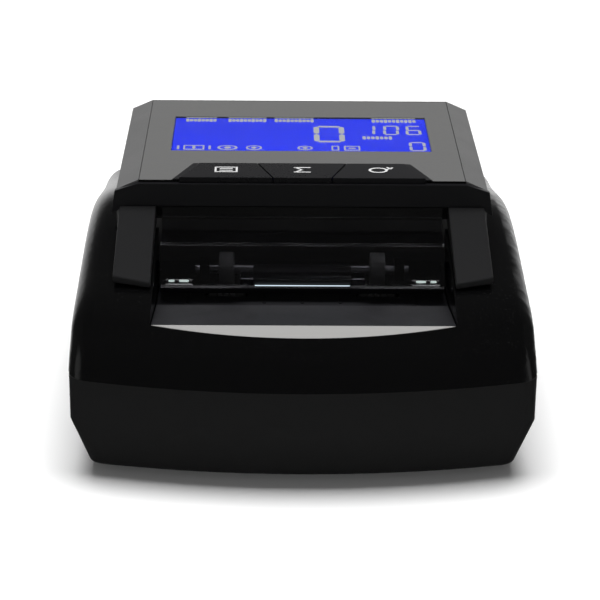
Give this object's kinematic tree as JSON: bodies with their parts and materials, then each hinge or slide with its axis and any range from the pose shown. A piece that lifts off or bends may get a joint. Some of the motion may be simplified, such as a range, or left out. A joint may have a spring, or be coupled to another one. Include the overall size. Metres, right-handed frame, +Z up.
{
  "type": "banknote detector",
  "caption": "Compact counter-top banknote detector with a glossy hooded case, hinged grey display head, feed tray with silver lip, press keys, motor-driven note path and rear exit",
  "frame": {"origin": "middle of the overall box, at the level the rubber feet stand on", "axes": "X to the right facing the feed mouth, Y from the feed mouth to the rear exit, Z up"},
  "size_m": [0.1414, 0.1609, 0.08],
  "materials": {
    "case_black": "fine matte spark-textured black ABS",
    "hood_black": "piano-black gloss",
    "head_grey": "satin grey ABS",
    "inlay_grey": "satin grey overlay",
    "band_black": "satin black",
    "arm_grey": "satin dark grey",
    "key_black": "satin black key caps",
    "smoked": "smoked translucent acrylic",
    "clear": "clear acrylic",
    "lcd_blue": "lit blue display with pale segments",
    "tray_grey": "satin dark grey",
    "lip_silver": "bright silver plated lip",
    "guide_black": "smooth black note guide",
    "foot_rubber": "black rubber",
    "roller_rubber": "dark grey drive rubber",
    "wheel_white": "off-white acetal",
    "steel": "bright steel",
    "bronze": "sintered bronze",
    "board_green": "green circuit board",
    "chip_black": "moulded packages",
    "belt_rubber": "black belt",
    "pulley_white": "off-white acetal",
    "connector_black": "black connector housing",
    "socket_steel": "tinned steel shell",
    "disc_black": "black encoder film"
  },
  "bodies": {
    "case": {"lower_case": "case_black", "feet": "foot_rubber", "upper_shell": "hood_black", "feed_tray": "tray_grey", "feed_lip": "lip_silver", "lower_guide": "guide_black", "lower_sensor_window": "smoked", "left_plate": "steel", "right_plate": "steel", "shaft_bushes": "bronze", "main_board": "board_green", "board_screws": "steel", "board_chips": "chip_black", "buzzer": "chip_black", "drive_motor": "steel", "motor_screws": "steel", "drive_belt": "belt_rubber", "encoder_sensor": "chip_black", "lower_sensor_board": "board_green", "power_inlet": "connector_black", "power_switch": "connector_black", "update_socket": "socket_steel", "hinge_pins": "steel", "case_screws": "steel"},
    "cover": {"head_cover": "head_grey", "display_panel": "inlay_grey", "front_band": "band_black", "key_board": "board_green", "key_switches": "chip_black", "lcd_window": "clear", "lcd_module": "lcd_blue", "display_board": "board_green", "left_arm": "arm_grey", "right_arm": "arm_grey", "throat_window": "smoked", "upper_guide": "guide_black", "upper_sensor_window": "smoked", "magnetic_heads": "steel", "upper_sensor_board": "board_green", "entry_sensor_bar": "guide_black", "entry_sensor_lenses": "clear", "pinch_saddles": "guide_black"},
    "report_key": {"report_button": "key_black"},
    "sum_key": {"sum_button": "key_black"},
    "reset_key": {"reset_button": "key_black"},
    "front_drive": {"front_drive_shaft": "steel", "front_drive_rollers": "roller_rubber", "front_pulley": "pulley_white", "encoder_disc": "disc_black"},
    "rear_drive": {"rear_drive_shaft": "steel", "rear_drive_rollers": "roller_rubber", "rear_pulley": "pulley_white"},
    "motor_rotor": {"motor_shaft": "steel", "motor_pulley": "pulley_white"},
    "front_pinch": {"front_pinch_shaft": "steel", "front_pinch_rollers": "wheel_white"},
    "rear_pinch": {"rear_pinch_shaft": "steel", "rear_pinch_rollers": "wheel_white"},
    "rocker": {"power_rocker": "key_black"}
  },
  "joints": [
    {"name": "cover_hinge", "type": "hinge", "parent": "case", "child": "cover", "pos_m": [0, 0.07, 0.049], "axis": [-1, 0, 0], "range_deg": [0, 60]},
    {"name": "report_press", "type": "slide", "parent": "cover", "child": "report_key", "axis": [0, 0.0574, -0.9984], "range_m": [0, 0.0008], "stiffness_N_per_m": 300, "springref_m": -0.0005},
    {"name": "sum_press", "type": "slide", "parent": "cover", "child": "sum_key", "axis": [0, 0.0574, -0.9984], "range_m": [0, 0.0008], "stiffness_N_per_m": 300, "springref_m": -0.0005},
    {"name": "reset_press", "type": "slide", "parent": "cover", "child": "reset_key", "axis": [0, 0.0574, -0.9984], "range_m": [0, 0.0008], "stiffness_N_per_m": 300, "springref_m": -0.0005},
    {"name": "front_shaft_spin", "type": "hinge", "parent": "case", "child": "front_drive", "pos_m": [0, -0.018, 0.0336], "axis": [1, 0, 0], "continuous": true},
    {"name": "rear_shaft_spin", "type": "hinge", "parent": "case", "child": "rear_drive", "pos_m": [0, 0.042, 0.0336], "axis": [1, 0, 0], "continuous": true},
    {"name": "motor_spin", "type": "hinge", "parent": "case", "child": "motor_rotor", "pos_m": [-0.04, 0.012, 0.0215], "axis": [1, 0, 0], "continuous": true},
    {"name": "front_pinch_spin", "type": "hinge", "parent": "cover", "child": "front_pinch", "pos_m": [0, -0.018, 0.0483], "axis": [1, 0, 0], "continuous": true},
    {"name": "rear_pinch_spin", "type": "hinge", "parent": "cover", "child": "rear_pinch", "pos_m": [0, 0.042, 0.0483], "axis": [1, 0, 0], "continuous": true},
    {"name": "power_rocker_tilt", "type": "hinge", "parent": "case", "child": "rocker", "pos_m": [-0.04, 0.0775, 0.016], "axis": [1, 0, 0], "range_deg": [0, 14]}
  ],
  "couplings": [
    {"joint": "rear_shaft_spin", "follows": "front_shaft_spin", "ratio": 1},
    {"joint": "motor_spin", "follows": "front_shaft_spin", "ratio": 1},
    {"joint": "front_pinch_spin", "follows": "front_shaft_spin", "ratio": -1.6364},
    {"joint": "rear_pinch_spin", "follows": "front_shaft_spin", "ratio": -1.6364}
  ]
}
